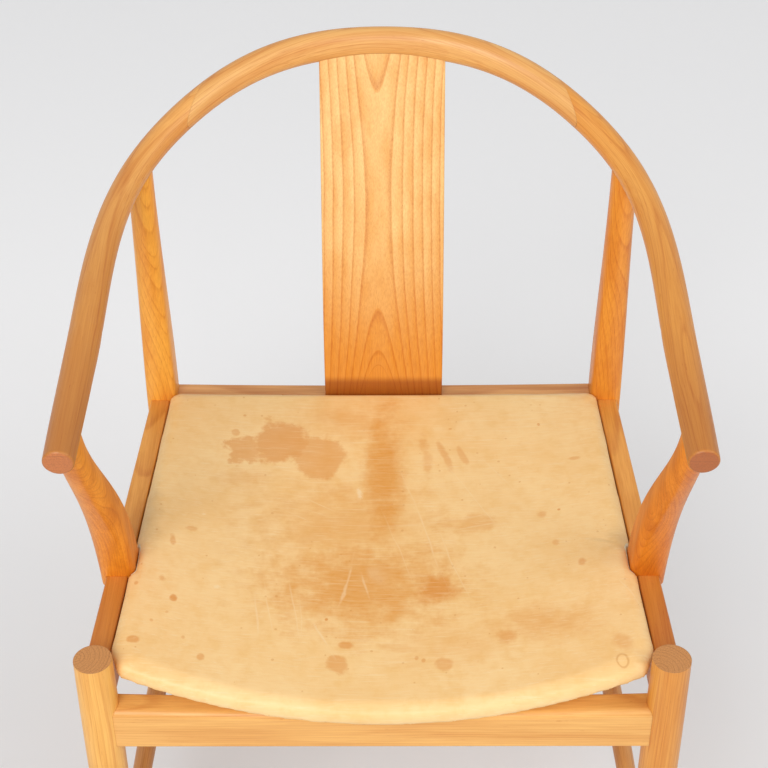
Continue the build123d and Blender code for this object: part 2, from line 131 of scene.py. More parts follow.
def unrolled(tree, position):
    x, y, z = (add(tree, "SeparateXYZ", {0: position}, out=k) for k in range(3))
    past = add(tree, "Math", {0: y, 1: BEND_CENTRE}, operation="SUBTRACT")
    behind = add(tree, "Math", {0: past, 1: 0.0}, operation="MAXIMUM")
    ahead = add(tree, "Math", {0: past, 1: 0.0}, operation="MINIMUM")
    across = add(tree, "VectorMath", {0: add(tree, "CombineXYZ", {0: x, 1: behind})},
                 out="Value", operation="LENGTH")
    turn = add(tree, "Math", {0: x, 1: behind}, operation="ARCTAN2")
    round_bend = add(tree, "Math", {0: turn, 1: BEND_RADIUS}, operation="MULTIPLY")
    side = add(tree, "Math", {0: x}, operation="SIGN")
    straight = add(tree, "Math", {0: ahead, 1: side}, operation="MULTIPLY")
    along = add(tree, "Math", {0: round_bend, 1: straight}, operation="SUBTRACT")
    wide = add(tree, "Math", {0: along, 1: 1 / BELL_WIDTH}, operation="MULTIPLY")
    wide = add(tree, "Math", {0: wide, 1: wide, 2: 1.0}, operation="MULTIPLY_ADD")
    bell = add(tree, "Math", {0: BELL_HEIGHT, 1: wide}, operation="DIVIDE")
    level = add(tree, "Math", {0: z, 1: bell}, operation="SUBTRACT")
    return add(tree, "CombineXYZ", {0: across, 1: level, 2: along})


print("half the rail, unrolled, is",
      round(BEND_RADIUS * math.pi / 2 + BEND_CENTRE + ARM_FRONT), "mm long")

# %% [markdown]
# ## One year of growth
# Within a ring the wood starts pale in spring, deepens towards autumn and ends
# in a thin dark line. The pattern needs only the place within the year, from 0
# to 1. Uneven years come from a slow noise along the radius. The back splat is
# a plain-sawn board: its face lies near the heart, nearest at its two ends, so
# the rings draw nested arches that open upwards at the head and downwards at
# the foot, with a narrow waist between.

# %% Rings of a stick and of the splat
SPLAT_WAIST = 651.0    # mm above the floor, where the arches meet
SPLAT_HEART = 25.0     # mm from the face to the heart at the waist
SPLAT_YOUNGEST = 20.2  # mm, radius of the innermost ring that is drawn
SPLAT_DRIFT = 0.0200   # how fast the heart comes nearer above and below it


def year_of(tree, radius, width, start=0.0, uneven=2.2):
    noise = add(tree, "TexNoise", {"W": radius, "Scale": 0.32 / width, "Detail": 1.0},
                noise_dimensions="1D")
    first = -start / width - uneven / 2
    years = add(tree, "Math", {0: radius, 1: 1 / width, 2: first}, operation="MULTIPLY_ADD")
    years = add(tree, "Math", {0: noise, 1: uneven, 2: years}, operation="MULTIPLY_ADD")
    return add(tree, "Math", {0: years}, operation="FRACT")


def stick_radius(tree, grain):
    flat = add(tree, "VectorMath", {0: grain, 1: (1, 1, 0)}, operation="MULTIPLY")
    return add(tree, "VectorMath", {0: flat}, out="Value", operation="LENGTH")


def splat_radius(tree, grain):
    x, z = (add(tree, "SeparateXYZ", {0: grain}, out=k) for k in (0, 2))
    above = add(tree, "Math", {0: z, 1: SPLAT_WAIST}, operation="SUBTRACT")
    above = add(tree, "Math", {0: above, 1: above}, operation="MULTIPLY")
    near = add(tree, "Math", {0: above, 1: -SPLAT_DRIFT, 2: SPLAT_HEART ** 2},
               operation="MULTIPLY_ADD")
    square = add(tree, "Math", {0: x, 1: x, 2: near}, operation="MULTIPLY_ADD")
    return add(tree, "Math", {0: square}, operation="SQRT")


print("arches close", round(math.sqrt((SPLAT_HEART ** 2 - SPLAT_YOUNGEST ** 2) / SPLAT_DRIFT)),
      "mm above and below the waist")

# %% [markdown]
# ## Oiled cherry
# The wood is American cherry, planed, sanded and rubbed with oil, which leaves
# a satin surface: soft highlights from the fine fibre and no thick gloss. Light
# has deepened its pink-brown to honey and orange. Very fine fibre, short gum
# flecks and soft clouds of tone do more for the eye than the rings, whose
# contrast in cherry is low. Sawn ends drink more oil and turn browner, and a
# tiny rounding of the shaded edges stands for the maker's sandpaper.

# %% Cherry material
FIBRE_WIDTH = 1.1      # mm, drawn coarser than the real 0.1 mm so that it shows
FIBRE_RATE = (1 / FIBRE_WIDTH, 1 / FIBRE_WIDTH, 0.013)     # per mm: across, across, along
CLOUD_RATE = (0.07, 0.07, 0.006)
GUM_RATE = (0.8, 0.8, 0.09)
LATE_WOOD = "#CF9664"  # multiplied over the tone in dark lines, fibre and gum flecks
END_GRAIN, END_PORES = "#B8703A", "#8A4E2A"
EDGE_ROUNDING = 0.8    # mm


def cherry(name, pale, deep, heart, turn=(0, 0, 0), bent=False, splat=False, ring=3.0,
           summer=0.16, line=0.24, clouds=0.75, wander=8.0, end=None, fades=()):
    """heart in mm; end: (direction, distance) of a sawn end; fades: slow changes of tone."""
    material, tree = new_material(name)
    position = in_millimetres(tree)
    run = unrolled(tree, position) if bent else position
    grain = laid_in_tree(tree, run, heart, turn, wander)
    if splat:
        year = year_of(tree, splat_radius(tree, grain), ring, start=SPLAT_YOUNGEST,
                       uneven=0.5)
    else:
        year = year_of(tree, stick_radius(tree, grain), ring)
    warm = add(tree, "MapRange", {0: year, 1: 0.05, 2: 0.85}, **SMOOTH)
    rise = add(tree, "MapRange", {0: year, 1: 0.72, 2: 0.93}, **SMOOTH)
    fall = add(tree, "MapRange", {0: year, 1: 0.94, 2: 1.0, 3: 1.0, 4: 0.0})
    late = add(tree, "Math", {0: rise, 1: fall}, operation="MULTIPLY")
    fine = add(tree, "VectorMath", {0: grain, 1: FIBRE_RATE}, operation="MULTIPLY")
    fibre = add(tree, "TexNoise", {"Vector": fine, "Scale": 1.0, "Detail": 3.0, "Roughness": 0.62})
    long = add(tree, "VectorMath", {0: grain, 1: CLOUD_RATE}, operation="MULTIPLY")
    cloud = add(tree, "TexNoise", {"Vector": long, "Scale": 1.0, "Detail": 4.0, "Roughness": 0.55})
    dash = add(tree, "VectorMath", {0: grain, 1: GUM_RATE}, operation="MULTIPLY")
    gum = add(tree, "TexNoise", {"Vector": dash, "Scale": 1.0, "Detail": 1.0})
    gum = add(tree, "MapRange", {0: gum, 1: 0.70, 2: 0.80, 4: 0.32}, **SMOOTH)
    depth = add(tree, "MapRange", {0: cloud, 1: 0.34, 2: 0.68, 3: 0.0, 4: clouds}, **SMOOTH)
    depth = add(tree, "Math", {0: warm, 1: summer, 2: depth}, operation="MULTIPLY_ADD",
                use_clamp=True)
    tone = add(tree, "Mix", {0: depth, 6: srgb(pale), 7: srgb(deep)}, **COLOUR)
    for direction, start, stop, colour, amount in fades:
        reach = add(tree, "VectorMath", {0: position, 1: direction}, out="Value",
                    operation="DOT_PRODUCT")
        share = add(tree, "MapRange", {0: reach, 1: start, 2: stop, 4: amount}, **SMOOTH)
        tone = add(tree, "Mix", {0: share, 6: tone, 7: srgb(colour)}, **COLOUR)
    dark = add(tree, "Mix", {0: 1.0, 6: tone, 7: srgb(LATE_WOOD)}, blend_type="MULTIPLY", **COLOUR)
    figure = add(tree, "Math", {0: late, 1: line}, operation="MULTIPLY")
    strand = add(tree, "MapRange", {0: fibre, 1: 0.40, 2: 0.72, 4: 0.34})
    figure = add(tree, "Math", {0: figure, 1: strand}, operation="ADD")
    figure = add(tree, "Math", {0: figure, 1: gum}, operation="ADD", use_clamp=True)
    tone = add(tree, "Mix", {0: figure, 6: tone, 7: dark}, **COLOUR)
    if end:
        tone = sawn_end(tree, tone, position, late, *end)
    height = add(tree, "Math", {0: late, 1: 0.4, 2: fibre}, operation="MULTIPLY_ADD")
    rounded = add(tree, "Bevel", {"Radius": EDGE_ROUNDING * MM}, samples=4)
    bump = add(tree, "Bump", {"Height": height, "Strength": 0.16, "Distance": 0.0003,
                              "Normal": rounded})
    satin = add(tree, "MapRange", {0: fibre, 1: 0.2, 2: 0.8, 3: 0.34, 4: 0.50})
    surface = add(tree, "BsdfPrincipled", {"Base Color": tone, "Roughness": satin, "IOR": 1.48,
                                           "Coat Weight": 0.10, "Coat Roughness": 0.25,
                                           "Normal": bump})
    add(tree, "OutputMaterial", {"Surface": surface})
    return material


def sawn_end(tree, tone, position, late, direction, distance, colour=END_GRAIN):
    """End grain on faces that look along direction, beyond a distance in mm."""
    normal = add(tree, "NewGeometry", out="Normal")
    facing = add(tree, "VectorMath", {0: normal, 1: direction}, out="Value",
                 operation="DOT_PRODUCT")
    facing = add(tree, "MapRange", {0: facing, 1: 0.70, 2: 0.96}, **SMOOTH)
    reach = add(tree, "VectorMath", {0: position, 1: direction}, out="Value",
                operation="DOT_PRODUCT")
    beyond = add(tree, "MapRange", {0: reach, 1: distance - 0.6, 2: distance})
    here = add(tree, "Math", {0: facing, 1: beyond}, operation="MULTIPLY")
    pores = add(tree, "TexNoise", {"Vector": position, "Scale": 0.9, "Detail": 3.0})
    dark = add(tree, "MapRange", {0: pores, 1: 0.42, 2: 0.72, 4: 0.45})
    dark = add(tree, "Math", {0: late, 1: 0.35, 2: dark}, operation="MULTIPLY_ADD", use_clamp=True)
    cut = add(tree, "Mix", {0: dark, 6: srgb(colour), 7: srgb(END_PORES)}, **COLOUR)
    return add(tree, "Mix", {0: here, 6: tone, 7: cut}, **COLOUR)


def dress(piece, material):
    piece.data.materials.clear()
    piece.data.materials.append(material)


def finish_with(material, *names):
    for name in names:
        dress(nodes[name], material)
    print(material.name, "->", ", ".join(names))


# %% [markdown]
# ## The horseshoe rail
# The crest is the palest part of the rail. The arms are where hands rest, and
# skin, oil and time have made them browner towards their ends.

# %% Finish of the rail
HANDLED_LEFT = (((0, -1, 0), -120.0, 60.0, "#DA9038", 0.65),
                ((0, -1, 0), 60.0, 235.0, "#B46C28", 0.65))
HANDLED_RIGHT = (((0, -1, 0), -170.0, 60.0, "#CE8634", 0.75),
                 ((0, -1, 0), 60.0, 235.0, "#B06A2A", 0.60))
ARM_END = ((0, -1, 0), 238.5)      # the way the sawn ends look, and where they begin in mm
finish_with(cherry("cherry_crest", "#F1BA6E", "#DE9A50", (-262, 40, 40), bent=True),
            "crest_rail")
finish_with(cherry("cherry_arm_left", "#EDA850", "#DA8A34", (-240, 38, 0), bent=True,
                   end=(*ARM_END, "#B0622E"), fades=HANDLED_LEFT), "arm_bow_left")
finish_with(cherry("cherry_arm_right", "#EFB060", "#DB9040", (-284, 30, 90), bent=True,
                   end=(*ARM_END, "#C4743C"), fades=HANDLED_RIGHT), "arm_bow_right")

# %% [markdown]
# ## Legs, posts and splat
# The legs stand along the trunk, so their grain needs no turning. The posts
# were sawn from a deeper board. The splat has the widest face of the chair:
# the eye goes there first, so it gets the figured board, pale above and deep
# orange below, with a painted shade where it meets the rail.

# %% Finish of the upright pieces
LEG_TOP = ((0, 0, 1), 460.5, "#CC9054")    # way, height in mm, colour of the sawn tops
finish_with(cherry("cherry_rear_left", "#EE9C34", "#DA8022", (-225, -180, 0)), "rear_leg_left")
finish_with(cherry("cherry_rear_right", "#FFB848", "#F09C34", (262, -200, 50)), "rear_leg_right")
finish_with(cherry("cherry_front_left", "#E8A248", "#D88A32", (-246, 262, 0), end=LEG_TOP),
            "front_leg_left")
finish_with(cherry("cherry_front_right", "#F9BE62", "#EAA84A", (268, 246, 40), end=LEG_TOP),
            "front_leg_right")
finish_with(cherry("cherry_post_left", "#EA8C22", "#CE6E10", (-240, 150, 0), wander=14.0),
            "arm_post_left")
finish_with(cherry("cherry_post_right", "#F09828", "#D47814", (280, 130, 30), wander=14.0),
            "arm_post_right")
# The splat's second fade, dark at its foot, is painted shade where it meets the rail.
finish_with(cherry("cherry_splat", "#FBCE84", "#EEAC58", (2.2, 0, 0), splat=True, ring=8.2,
                   summer=0.45, line=0.34, clouds=0.45, wander=5.0,
                   fades=(((0, 0, -1), -650.0, -470.0, "#E48C14", 0.80),
                          ((0, 0, -1), -462.0, -451.0, "#A85818", 0.85))), "back_splat")

# %% [markdown]
# ## Rails, stretchers and cleats
# These lie flat, so the grain is turned: a quarter turn about X lays it front
# to back, and one about Y lays it from side to side. The cleats are plain
# strips that nobody sees, cut from leftovers.

# %% Finish of the lying pieces
# Painted shade: the side rails darken towards the front, under the arm posts.
PAINTED_SHADE_UNDER_POSTS = (((0, -1, 0), 80.0, 160.0, "#BE6A22", 0.60),)       # under the arm posts
finish_with(cherry("cherry_side_left", "#ECA850", "#D38A34", (-235, -410, 0), turn=(90, 0, 0),
                   fades=PAINTED_SHADE_UNDER_POSTS), "side_rail_left")
finish_with(cherry("cherry_side_right", "#ECA850", "#D38A34", (275, -440, 20), turn=(90, 0, 0),
                   fades=PAINTED_SHADE_UNDER_POSTS), "side_rail_right")
finish_with(cherry("cherry_front_rail", "#F3BA68", "#E3A252", (350, 270, 0), turn=(0, 90, 0)),
            "seat_rail_front")
finish_with(cherry("cherry_back_rail", "#E8AE6C", "#CB8C4C", (420, -200, 30), turn=(0, 90, 0)),
            "seat_rail_back")
finish_with(cherry("cherry_bars", "#DFA05A", "#C07F40", (-235, -140, 0), turn=(90, 0, 0)),
            "side_stretcher_left", "side_stretcher_right")
finish_with(cherry("cherry_cross", "#DFA05A", "#C07F40", (150, 20, 0), turn=(0, 90, 0)),
            "cross_stretcher")
finish_with(cherry("cherry_cleats", "#DDA868", "#C08A50", (-225, -400, 0), turn=(90, 0, 0)),
            "seat_cleat_left", "seat_cleat_right", "seat_cleat_back")

# %% [markdown]
# ## The plywood seat board
# The board under the leather is bent birch plywood, and its face veneer is
# pale and calm. The same tree pattern serves, with rings set wide, because a
# peeled veneer shows them broad and faint.

# %% Birch plywood
finish_with(cherry("birch_plywood", "#E0BF92", "#CDA676", (30, -380, 10), turn=(90, 0, 0),
                   ring=9.0, summer=0.3, line=0.15), "seat_board")

# %% [markdown]
# ## The leather seat, body
# The seat is a natural, undyed hide drawn tightly over thin foam on the board
# and stapled underneath. Flat panels would look like cardboard, so its body is
# copied from the seat's own solids, given an even skin, and then blown up a
# little as cloth. That rounds the nose and gives the soft crown of a tight
# hide. A cap on the movement keeps it clear of the rails.

# %% Copy the seat into one closed form
SKIN = 3.6 * MM        # size of one face of the even skin


def placed(name, data):
    piece = bpy.data.objects.new(name, data)
    scene.collection.objects.link(piece)
    return piece


def joined_copy(name, *names):
    mesh = bpy.data.meshes.new(name)
    form = bmesh.new()
    for node in names:
        form.from_mesh(nodes[node].data)
    bmesh.ops.remove_doubles(form, verts=form.verts, dist=1e-6)
    form.to_mesh(mesh)
    form.free()
    return placed(name, mesh)


def settled(piece):
    """Makes the modifiers' result the piece's own mesh."""
    bpy.context.view_layer.update()
    shape = bpy.data.meshes.new_from_object(
        piece.evaluated_get(bpy.context.evaluated_depsgraph_get()))
    piece.modifiers.clear()
    piece.data = shape
    return piece


hide = joined_copy("seat_hide", "seat_board", "seat_foam", "seat_leather")
skin = hide.modifiers.new("even skin", "REMESH")
skin.mode, skin.voxel_size = "VOXEL", SKIN
settled(hide)
print("even skin:", len(hide.data.polygons), "faces")

# %% [markdown]
# The cloth is held where its staples would be, underneath, and a little air
# pressure does the rest. There is no gravity in it, because a hide drawn this
# tight doesn't sag.

# %% Blow the hide up a little
RISE, SPREAD = 2.4 * MM, 0.4 * MM      # most that a point may move up and sideways
LAST_STEP = 16         # the pressure has filled the hide out by then

start = [v.co.copy() for v in hide.data.vertices]
held = hide.vertex_groups.new(name="stapled")
held.add([v.index for v in hide.data.vertices if v.normal.z < -0.35], 1.0, "REPLACE")
cloth = hide.modifiers.new("tight hide", "CLOTH")
cloth.settings.quality = 4
cloth.settings.mass = 0.4
cloth.settings.tension_stiffness = cloth.settings.compression_stiffness = 25
cloth.settings.bending_stiffness = 3
cloth.settings.use_pressure = True
cloth.settings.uniform_pressure_force = 4
cloth.settings.vertex_group_mass = "stapled"
cloth.settings.effector_weights.gravity = 0
cloth.point_cache.frame_start, cloth.point_cache.frame_end = 1, LAST_STEP
for step in range(1, LAST_STEP + 1):
    scene.frame_set(step)
settled(hide)
scene.frame_set(1)
for vertex, old in zip(hide.data.vertices, start):
    move = vertex.co - old
    flat = Vector((move.x, move.y, 0))
    if flat.length > SPREAD:
        flat *= SPREAD / flat.length
    vertex.co = old + flat + Vector((0, 0, max(-RISE / 4, min(RISE, move.z))))
print("hide rose at most",
      round(max(v.co.z - o.z for v, o in zip(hide.data.vertices, start)) / MM, 2), "mm")

# %% [markdown]
# ## Puckers at the arm posts
# Where the hide is cut to pass a post, its edge pulls in and the leather lies
# in short soft folds that point away from the post. Cloth this stiff doesn't
# make them by itself, so they are pressed in one by one: each fold is a line, and
# the points near it sink by a bell curve that dies out towards the middle.

# %% Press in the folds
FOLDS = (              # start at the post, end on the seat (mm), depth, half width
    (236, -93, 198, -78, 1.5, 5.0), (236, -80, 205, -60, 1.0, 4.0),
    (235, -104, 204, -106, 0.8, 4.5), (-236, -95, -200, -84, 0.9, 4.5),
    (-236, -82, -208, -58, 0.8, 4.0), (-235, -124, -206, -136, 0.6, 4.5))


def smooth(piece):
    for polygon in piece.data.polygons:
        polygon.use_smooth = True


for vertex in hide.data.vertices:
    if vertex.normal.z < 0.2:
        continue
    for x0, y0, x1, y1, depth, wide in FOLDS:
        line = Vector((x1 - x0, y1 - y0))
        here = Vector((vertex.co.x / MM - x0, vertex.co.y / MM - y0))
        along = here.dot(line) / line.length_squared
        if -0.15 < along < 1:
            off = (here - line * along).length
            sink = depth * (1 - max(0, along)) ** 1.2 * math.exp(-(off / wide) ** 2)
            vertex.co.z -= sink * MM
smooth(hide)
print("folds pressed in:", len(FOLDS))

# %% [markdown]
# ## The opening underneath
# The leather turns in under the board for about 30 mm and ends there, cut
# clean, and the plywood shows in the middle. The cut is made with a Boolean: a
# copy of the board, trimmed to the opening's outline and lowered until it pokes
# through the hide. It follows the dish of the seat by itself.

# %% Cut the opening
TURN_IN = 32.0         # mm of leather under the board
UNDER_SEAT = 0.30      # m above the floor, well below the seat
CUTTER_HEIGHT = 0.25   # m, tall enough to pass the seat
POKE = 2.2 * MM        # how far the lowered board comes through the hide
plan = [Vector((v.co.x, v.co.y)) for v in nodes["seat_leather"].data.vertices]
hull = [plan[k] for k in convex_hull_2d(plan)]
centre = Vector((0, sum(p.y for p in hull) / len(hull)))


def outline_inside(inset, steps=360):
    """The seat's outline in plan, drawn in by inset mm, as points round the centre."""
    sides = []
    for a, b in zip(hull, hull[1:] + hull[:1]):
        out = Vector((b.y - a.y, a.x - b.x))
        if out.length > 1e-5:
            out.normalize()
            out *= 1 if out.dot(a - centre) > 0 else -1
            sides.append((out, out.dot(a - centre) - inset * MM))
    points = []
    for k in range(steps):
        ray = Vector((math.cos(2 * math.pi * k / steps), math.sin(2 * math.pi * k / steps)))
        reach = min(d / out.dot(ray) for out, d in sides if out.dot(ray) > 1e-3)
        points.append(centre + ray * reach)
    return points


form = bmesh.new()
low = form.faces.new([form.verts.new((p.x, p.y, UNDER_SEAT)) for p in outline_inside(TURN_IN)])
raised = bmesh.ops.extrude_face_region(form, geom=[low])["geom"]
bmesh.ops.translate(form, vec=(0, 0, CUTTER_HEIGHT),
                    verts=[v for v in raised if isinstance(v, bmesh.types.BMVert)])
bmesh.ops.recalc_face_normals(form, faces=form.faces)
cutter = placed("opening_cutter", bpy.data.meshes.new("opening_cutter"))
form.to_mesh(cutter.data)
form.free()
board = joined_copy("board_copy", "seat_board")
board.data.transform(Matrix.Translation((0, 0, -POKE)))
trim = cutter.modifiers.new("follow the dish", "BOOLEAN")
trim.operation, trim.solver, trim.object = "INTERSECT", "EXACT", board
settled(cutter)
opening = hide.modifiers.new("opening", "BOOLEAN")
opening.operation, opening.solver, opening.object = "DIFFERENCE", "EXACT", cutter
settled(hide)
for helper in (cutter, board):
    bpy.data.objects.remove(helper)
hide.data.set_sharp_from_angle(angle=math.radians(50))
print("hide after the cut:", len(hide.data.polygons), "faces")

# %% [markdown]
# ## Natural leather, stains and scratches
# Vegetable-tanned cowhide starts pale as cream and darkens to honey where it
# is handled. Nothing covers its surface, so every drop of water leaves a ring
# and every nail a pale line. Each mark is a soft ellipse laid on the seat: its
# place, its half sizes, how soft and how ragged it is, and how strong.
# Neighbouring marks of one tone are joined by taking the stronger of the two,
# so where two spills overlap they don't double.

# %% Marks on the hide
TALL = 1e6             # mm, so that a mark reaches through the hide's whole depth


def marks(tree, position, ragged, shapes):
    """shapes: (x, y, half width, half depth, angle, softness, raggedness, strength) in mm."""
    total = None
    for x, y, wide, deep, angle, soft, rough, strength in shapes:
        laid = add(tree, "Mapping", {0: position, 1: (x, y, 0), 2: (0, 0, math.radians(angle)),
                                     3: (wide, deep, TALL)}, vector_type="TEXTURE")
        away = add(tree, "VectorMath", {0: laid}, out="Value", operation="LENGTH")
        away = add(tree, "Math", {0: ragged, 1: rough, 2: away}, operation="MULTIPLY_ADD")
        mark = add(tree, "MapRange", {0: away, 1: 1 - soft, 2: 1 + soft / 2, 3: strength, 4: 0.0},
                   **SMOOTH)
        total = mark if total is None else add(tree, "Math", {0: total, 1: mark},
                                               operation="MAXIMUM")
    return total


HONEY = (              # where the hide is handled and sat on
    (0, 30, 22, 122, 0, 0.9, 0.45, 0.80), (-20, -122, 94, 66, 0, 0.85, 0.50, 0.76),
    (-40, -40, 92, 62, 10, 0.95, 0.60, 0.42), (146, -181, 52, 24, -4, 0.95, 0.45, 0.50),
    (82, -42, 36, 13, 6, 0.8, 0.8, 0.40), (70, -200, 70, 30, 0, 0.95, 0.45, 0.26),
    (-142, 20, 28, 14, 12, 0.95, 0.7, 0.28), (11, -202, 28, 6, -10, 0.7, 0.7, 0.32),
    (-134, -18, 20, 7, 8, 0.9, 0.7, 0.28), (-30, 110, 60, 24, -20, 0.95, 0.55, 0.36))
SPILLS = (             # dried drinks and water drops, with their darker tone
    (-110, 78, 30, 33, 0, 0.22, 0.35, 0.62), (-66, 60, 27, 33, 0, 0.16, 0.25, 0.50),
    (-143, 70, 22, 21, 15, 0.25, 0.7, 0.52), (-156.6, 92, 5, 5.5, 0, 0.3, 0.5, 0.40),
    (53, -128, 18, 23, -20, 0.7, 0.5, 0.70), (64.5, 59, 4.5, 22, 18, 0.5, 0.5, 0.42),
    (84, 57, 3.6, 14, 16, 0.5, 0.6, 0.38), (44, 60, 6, 25, 6, 0.7, 0.8, 0.32),
    (116, -195, 10, 9.5, 0, 0.5, 0.4, 0.48), (57, -225, 8.6, 8.2, 0, 0.3, 0.3, 0.42),
    (31.7, -215, 2.2, 2.7, 0, 0.4, 0.2, 0.5), (38.7, -218.6, 2.2, 2.7, 0, 0.4, 0.2, 0.5),
    (218, -216, 8, 11, 20, 0.6, 0.4, 0.35), (191, -108, 4.4, 5.6, 0, 0.5, 0.3, 0.55),
    (168, -78, 4, 4.4, 0, 0.5, 0.3, 0.4), (159, -34, 5, 6.4, 0, 0.5, 0.6, 0.42),
    (176.4, -29.6, 2, 1.6, 0, 0.4, 0.2, 0.7), (197.5, 45.5, 5.5, 2.4, 0, 0.5, 0.5, 0.4),
    (164.8, 103.4, 1.6, 1.8, 0, 0.4, 0.2, 0.75), (73, 100, 2.2, 1.7, 0, 0.4, 0.2, 0.5),
    (-195.8, -156.6, 3.9, 4.9, 0, 0.35, 0.2, 0.75), (-225.8, -217, 5.4, 4.9, 0, 0.3, 0.25, 0.6),
    (-233, -143, 2.2, 2.8, 0, 0.4, 0.2, 0.45), (-164, -226, 3.7, 4.6, 0, 0.4, 0.3, 0.5),
    (-148.4, 118, 1.8, 1.8, 0, 0.4, 0.2, 0.5), (-204.5, -77.6, 3, 8, 8, 0.5, 0.8, 0.5),
    (-189, -58, 6.5, 3.4, 0, 0.6, 0.9, 0.4), (-34, -201, 6.6, 4.8, 0, 0.4, 0.3, 0.6),
    (-40, -224.5, 9.5, 11, 0, 0.35, 0.5, 0.5), (-209.6, -133, 3.8, 5, 0, 0.6, 0.8, 0.4),
    (-52.4, -167, 1.9, 2.2, 0, 0.4, 0.2, 0.8), (-182, -205, 2, 2.2, 0, 0.4, 0.3, 0.4),
    (-213, -190, 1.8, 2, 0, 0.4, 0.3, 0.4), (-200, -176, 1.6, 1.8, 0, 0.4, 0.3, 0.35))
SCRATCHES = (          # pale lines, half length along X before turning
    (39, -38.9, 70, 0.9, -75, 0.9, 0.8, 0.36), (18, -78, 52, 0.8, -72, 0.9, 0.8, 0.28),
    (91, -1.8, 47, 0.8, -62, 0.9, 0.8, 0.34), (69, -97, 46, 0.8, -73.7, 0.9, 0.8, 0.34),
    (231, -156, 30, 0.9, -66.5, 0.9, 0.7, 0.34), (-118, -171, 29, 0.9, -84.4, 0.9, 0.7, 0.38),
    (-107.5, -161, 34, 0.8, -81, 0.9, 0.7, 0.34), (-82.5, -157, 35, 0.9, -81, 0.9, 0.7, 0.34),
    (-76, -166, 26, 0.7, -86, 0.9, 0.7, 0.28), (-61, -12, 21, 0.7, -32.6, 0.9, 0.8, 0.34),
    (-83, -30, 15, 0.7, -30, 0.9, 0.8, 0.34), (-66, -22, 18, 0.6, -24, 0.9, 0.8, 0.28),
    (-36.7, -122, 32, 1.3, -102, 0.9, 1.0, 0.42), (-57, -187, 23, 1.3, -64, 0.9, 0.9, 0.40),
    (-18, -121, 18, 1.2, -76, 0.9, 1.0, 0.38), (118.6, 29, 27, 0.7, -59, 0.9, 0.7, 0.24),
    (82, -46, 36, 0.8, 9, 0.9, 1.0, 0.30), (80, -33, 32, 0.7, 12, 0.9, 1.0, 0.24),
    (-24, 6, 3.6, 7.5, 0, 0.6, 1.1, 0.72), (-158, -135.5, 3.6, 2.4, 20, 0.5, 1.0, 0.6),
    (-177, -36, 3.0, 2.2, 0, 0.5, 1.0, 0.5), (-4, -110, 16, 9, -60, 0.9, 1.2, 0.24))
HIDE_SHADE_AT_POSTS = (              # painted shade: greyer where the edge meets the arm posts and folds
    (-232, -40, 13, 62, 3, 0.9, 0.4, 0.34), (231, -80, 15, 17, -20, 0.9, 0.35, 0.40),
    (222, -86, 22, 3.2, -22, 0.9, 0.3, 0.35), (-150, -30, 60, 90, 0, 0.95, 0.4, 0.08))
print("marks:", len(HONEY), "worn,", len(SPILLS), "spills,", len(SCRATCHES), "scratches")

# %% [markdown]
# ## Natural leather, the material
# The colour starts as cream with soft cloudy honey, then the marks go over it.
# Real pores are about 0.2 mm apart, too fine to show, so the pebble is drawn
# at 1.3 mm, and low. Leather is a plain dielectric, IOR about 1.5, and rubbing
# has given it a quiet satin, smoother where it is darker.

# %% Leather material
PORE = 1.3             # mm between pores, coarser than real so that they show
FRECKLE_STEP = 10.0    # mm between small dark specks, most of which lie under the surface
RUBBED = ((72, 0.32), (24, 0.22))      # fine wear: its direction in degrees, its strength
WAVER = 5.0            # mm by which every outline wavers
DROP = (214.4, -238.3)                 # mm, where a drop dried and left only its ring


